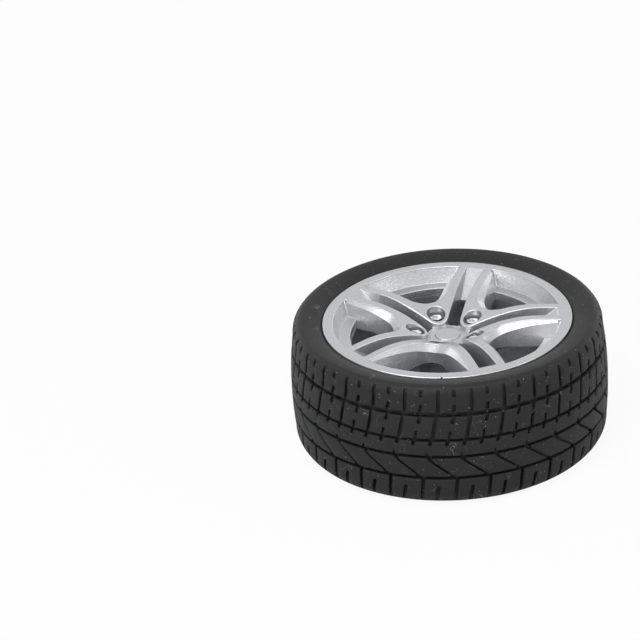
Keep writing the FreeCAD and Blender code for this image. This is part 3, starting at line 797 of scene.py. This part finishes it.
def dust_group():
    """Specks and fine fibres of pale dust: a mask."""
    if "Dust" in bpy.data.node_groups:
        return bpy.data.node_groups["Dust"]
    tree, given, result = new_group(
        "Dust", {"Specks per mm": 0.9, "Speck size": 0.06, "Fibres": 1.0}, {"Mask": "NodeSocketFloat"})
    place = millimetres(tree)
    cells = node(tree, "TexVoronoi", {"Vector": place, "Scale": given["Specks per mm"]}).outputs
    split = node(tree, "SeparateColor", {0: cells["Color"]}).outputs
    size = math_node(tree, "MULTIPLY", split[0], given["Speck size"])
    near = math_node(tree, "LESS_THAN", cells["Distance"], size)
    specks = math_node(tree, "MULTIPLY", near, math_node(tree, "GREATER_THAN", split[1], 0.5))
    strength = math_node(tree, "MULTIPLY", specks, split[2])
    waves = node(tree, "TexNoise", {
        "Vector": place, "Scale": 0.34, "Detail": 1.0, "Roughness": 0.4, "Distortion": 0.6}).outputs["Fac"]
    off = math_node(tree, "ABSOLUTE", math_node(tree, "SUBTRACT", waves, 0.5))
    line = math_node(tree, "LESS_THAN", off, 0.0016)
    patches = node(tree, "TexNoise", {"Vector": place, "Scale": 0.23, "Detail": 0.0}).outputs["Fac"]
    some = math_node(tree, "GREATER_THAN", patches, 0.60)
    fibres = math_node(tree, "MULTIPLY", math_node(tree, "MULTIPLY", line, some), given["Fibres"])
    both = math_node(tree, "ADD", strength, math_node(tree, "MULTIPLY", fibres, 0.5), clamp=True)
    feed(tree, result, {"Mask": both})
    return tree


def flake_group():
    """Metal flakes in the plastic: each small cell tilts the surface its own way."""
    if "Flakes" in bpy.data.node_groups:
        return bpy.data.node_groups["Flakes"]
    tree, given, result = new_group(
        "Flakes", {"Flakes per mm": 9.0, "Tilt": 0.18}, {"Normal": "NodeSocketVector", "Glint": "NodeSocketFloat"})
    cells = node(tree, "TexVoronoi", {"Vector": millimetres(tree), "Scale": given["Flakes per mm"]})
    colour = cells.outputs["Color"]
    split = node(tree, "SeparateColor", {0: colour}).outputs
    raised = math_node(tree, "MULTIPLY", math_node(tree, "POWER", split[2], 6.0), 2.0)
    share = math_node(tree, "MULTIPLY", math_node(tree, "ADD", raised, 0.3), given["Tilt"])
    centred = node(tree, "VectorMath", {0: colour, 1: (0.5, 0.5, 0.5)}, operation="SUBTRACT").outputs[0]
    tilt = node(tree, "VectorMath", operation="SCALE", inputs={0: centred, "Scale": share}).outputs[0]
    normal = node(tree, "NewGeometry").outputs["Normal"]
    leaning = node(tree, "VectorMath", {0: normal, 1: tilt}, operation="ADD").outputs[0]
    feed(tree, result, {
        "Normal": node(tree, "VectorMath", {0: leaning}, operation="NORMALIZE").outputs[0], "Glint": split[0]})
    return tree


def grain_group():
    """Fine uneven surface: a slow mottle and a fine grain."""
    if "Grain" in bpy.data.node_groups:
        return bpy.data.node_groups["Grain"]
    tree, given, result = new_group("Grain", {"Grain per mm": 5.0, "Mottle per mm": 0.35},
                                    {"Grain": "NodeSocketFloat", "Mottle": "NodeSocketFloat"})
    place = millimetres(tree)
    for label, detail in (("Grain", 4.0), ("Mottle", 3.0)):
        noise = node(tree, "TexNoise", {
            "Vector": place, "Scale": given[label + " per mm"], "Detail": detail, "Roughness": 0.6})
        feed(tree, result, {label: noise.outputs["Fac"]})
    return tree


def new_material(name):
    material = bpy.data.materials.new(name)
    material.use_nodes = True
    return material, material.node_tree, material.node_tree.nodes["Principled BSDF"]


def use_group(tree, group, inputs):
    """The outputs of a shared node group, with its inputs fed."""
    return node(tree, "Group", inputs, node_tree=group).outputs


def shade(colour, share):
    """A colour made darker or lighter, with full alpha."""
    return (*(min(1, c * share) for c in colour), 1)


def mix_colour(tree, factor, first, second):
    return node(tree, "Mix", data_type="RGBA", inputs={0: factor, 6: first, 7: second}).outputs[2]


def ranged(tree, value, low, high):
    """A 0 to 1 value spread between two others."""
    return node(tree, "MapRange", {"Value": value, "To Min": low, "To Max": high}).outputs["Result"]


def bumped(tree, height, strength, distance):
    """A normal that follows small heights, given in metres."""
    return node(tree, "Bump", {"Height": height, "Strength": strength, "Distance": distance}).outputs["Normal"]


def rubber_material(settings):
    """Charcoal rubber with a fine grain, a paler mottle and a little dust."""
    material, tree, shader = new_material("tyre rubber")
    colour = settings.rubber_colour
    grain = use_group(tree, grain_group(), {"Grain per mm": 6.0, "Mottle per mm": 0.3})
    dust = use_group(tree, dust_group(), {"Specks per mm": 1.9, "Speck size": 0.17})
    mottled = mix_colour(tree, grain["Mottle"], shade(colour, 0.8), shade(colour, 1.25))
    feed(tree, shader, {
        "Base Color": mix_colour(tree, dust["Mask"], mottled, (0.42, 0.42, 0.41, 1)),
        "Roughness": ranged(tree, grain["Mottle"], 0.5, 0.62),
        "Specular IOR Level": 0.26,
        "Normal": bumped(tree, grain["Grain"], 0.35, 0.00003)})
    return material


def silver_material(settings):
    """Silver plastic with metal flakes, shared by the rim and the cap."""
    if "silver plastic" in bpy.data.materials:
        return bpy.data.materials["silver plastic"]
    material, tree, shader = new_material("silver plastic")
    colour = settings.silver_colour
    flakes = use_group(tree, flake_group(), {"Flakes per mm": 12.0, "Tilt": 0.3})
    grain = use_group(tree, grain_group(), {"Grain per mm": 3.0, "Mottle per mm": 0.25})
    feed(tree, shader, {
        "Base Color": mix_colour(tree, flakes["Glint"], shade(colour, 0.82), shade(colour, 1.18)),
        "Metallic": 0.86,
        "Roughness": ranged(tree, grain["Mottle"], 0.27, 0.34),
        "Normal": flakes["Normal"]})
    return material


def plating_material(settings):
    """Bright plating of the lug nuts."""
    material, tree, shader = new_material("nut plating")
    colour = settings.nut_colour
    grain = use_group(tree, grain_group(), {"Grain per mm": 4.0, "Mottle per mm": 1.2})
    feed(tree, shader, {
        "Base Color": mix_colour(tree, grain["Mottle"], shade(colour, 0.9), shade(colour, 1)),
        "Metallic": 1.0,
        "Roughness": ranged(tree, grain["Grain"], 0.12, 0.24)})
    return material


def sponge_material(settings):
    """Open-cell sponge."""
    material, tree, shader = new_material("sponge")
    colour = settings.sponge_colour
    grain = use_group(tree, grain_group(), {"Grain per mm": 2.5, "Mottle per mm": 1.0})
    feed(tree, shader, {
        "Base Color": mix_colour(tree, grain["Grain"], shade(colour, 0.4), shade(colour, 1)),
        "Roughness": ranged(tree, grain["Mottle"], 0.85, 0.98),
        "Normal": bumped(tree, grain["Grain"], 1.0, 0.0002)})
    return material


def add_lamp(name, place, target_height, size, power, strength):
    """A rectangular lamp that points at the axle."""
    data = bpy.data.lights.new(name, "AREA")
    data.shape = "RECTANGLE"
    data.size, data.size_y = size
    data.energy = power * strength
    lamp = bpy.data.objects.new(name, data)
    lamp.location = place
    lamp.rotation_euler = (Vector((0, 0, target_height)) - Vector(place)).to_track_quat("-Z", "Y").to_euler()
    bpy.context.collection.objects.link(lamp)


class WHEEL_OT_stage(bpy.types.Operator):
    """Set up the white floor, the lamps and the camera"""
    bl_idname = "wheel.stage"
    bl_label = "Stage"

    def execute(self, context):
        settings = context.scene.rubber_wheel
        bm = bmesh.new()
        corners = [bm.verts.new((x, y, -0.00005)) for x, y in ((-3, -3), (3, -3), (3, 3), (-3, 3))]
        bm.faces.new(corners)
        mesh = bpy.data.meshes.new("floor")
        bm.to_mesh(mesh)
        bm.free()
        mesh.materials.append(floor_material())
        floor = bpy.data.objects.new("floor", mesh)
        context.collection.objects.link(floor)
        make_world(context.scene)
        for lamp in LAMPS:
            add_lamp(*lamp, settings.lamp_power)
        data = bpy.data.cameras.new("camera")
        data.lens = 181.7
        data.sensor_width = 36
        data.clip_start, data.clip_end = 0.05, 20
        camera = bpy.data.objects.new("camera", data)
        camera.location = (-0.01734, -0.58409, 0.33014)
        camera.rotation_euler = [math.radians(a) for a in (62.511, 3.152, -0.802)]
        context.collection.objects.link(camera)
        context.scene.camera = camera
        context.scene.view_settings.view_transform = "Standard"
        return {"FINISHED"}


def seen_plainly(tree, *others):
    """1 for rays that come from the camera, through glass, or of the other kinds named."""
    rays = node(tree, "LightPath").outputs
    seen = rays["Is Camera Ray"]
    for kind in ("Is Transmission Ray",) + others:
        seen = math_node(tree, "MAXIMUM", seen, rays[kind])
    return seen


def floor_material():
    """White floor that stays white to the camera, keeps a soft part of the shadow and is clear from below."""
    material, tree, shader = new_material("white floor")
    feed(tree, shader, {"Base Color": (0.9, 0.9, 0.9, 1), "Roughness": 0.9})
    glow = node(tree, "Emission", {"Color": (1, 1, 1, 1)}).outputs[0]
    share = math_node(tree, "MULTIPLY", seen_plainly(tree), 0.92)
    mix = node(tree, "MixShader", {0: share, 1: shader.outputs[0], 2: glow}).outputs[0]
    below = node(tree, "NewGeometry").outputs["Backfacing"]
    clear = node(tree, "BsdfTransparent").outputs[0]
    surface = node(tree, "MixShader", {0: below, 1: mix, 2: clear}).outputs[0]
    feed(tree, tree.nodes["Material Output"], {"Surface": surface})
    return material


def make_world(scene):
    """White to the camera and in reflections, plain soft light otherwise."""
    world = bpy.data.worlds.new("studio")
    scene.world = world
    world.use_nodes = True
    tree = world.node_tree
    light = tree.nodes["Background"]
    feed(tree, light, {"Color": (0.96, 0.98, 1.0, 1), "Strength": 0.28})
    white = node(tree, "Background", {"Color": (1, 1, 1, 1), "Strength": 1.0}).outputs[0]
    mix = node(tree, "MixShader", {0: seen_plainly(tree, "Is Glossy Ray"), 1: light.outputs[0], 2: white})
    feed(tree, tree.nodes["World Output"], {"Surface": mix.outputs[0]})


class WHEEL_PT_panel(bpy.types.Panel):
    """Settings and steps of the wheel"""
    bl_idname = "WHEEL_PT_panel"
    bl_label = "Rubber Wheel"
    bl_space_type = "VIEW_3D"
    bl_region_type = "UI"
    bl_category = "Rubber Wheel"

    def draw(self, context):
        settings = context.scene.rubber_wheel
        for name in WheelSettings.__annotations__:
            self.layout.prop(settings, name)
        for step in STEPS:
            self.layout.operator(step.bl_idname)


STEPS = (WHEEL_OT_stage, WHEEL_OT_tyre, WHEEL_OT_rim, WHEEL_OT_cap, WHEEL_OT_lug_nuts, WHEEL_OT_sponge)
CLASSES = (WheelSettings,) + STEPS + (WHEEL_PT_panel,)


def register():
    for cls in CLASSES:
        bpy.utils.register_class(cls)
    bpy.types.Scene.rubber_wheel = PointerProperty(type=WheelSettings)


def unregister():
    del bpy.types.Scene.rubber_wheel
    for cls in reversed(CLASSES):
        bpy.utils.unregister_class(cls)


def main():
    register()
    for step in STEPS:
        group, name = step.bl_idname.split(".")
        getattr(getattr(bpy.ops, group), name)()


if __name__ == "__main__":
    main()
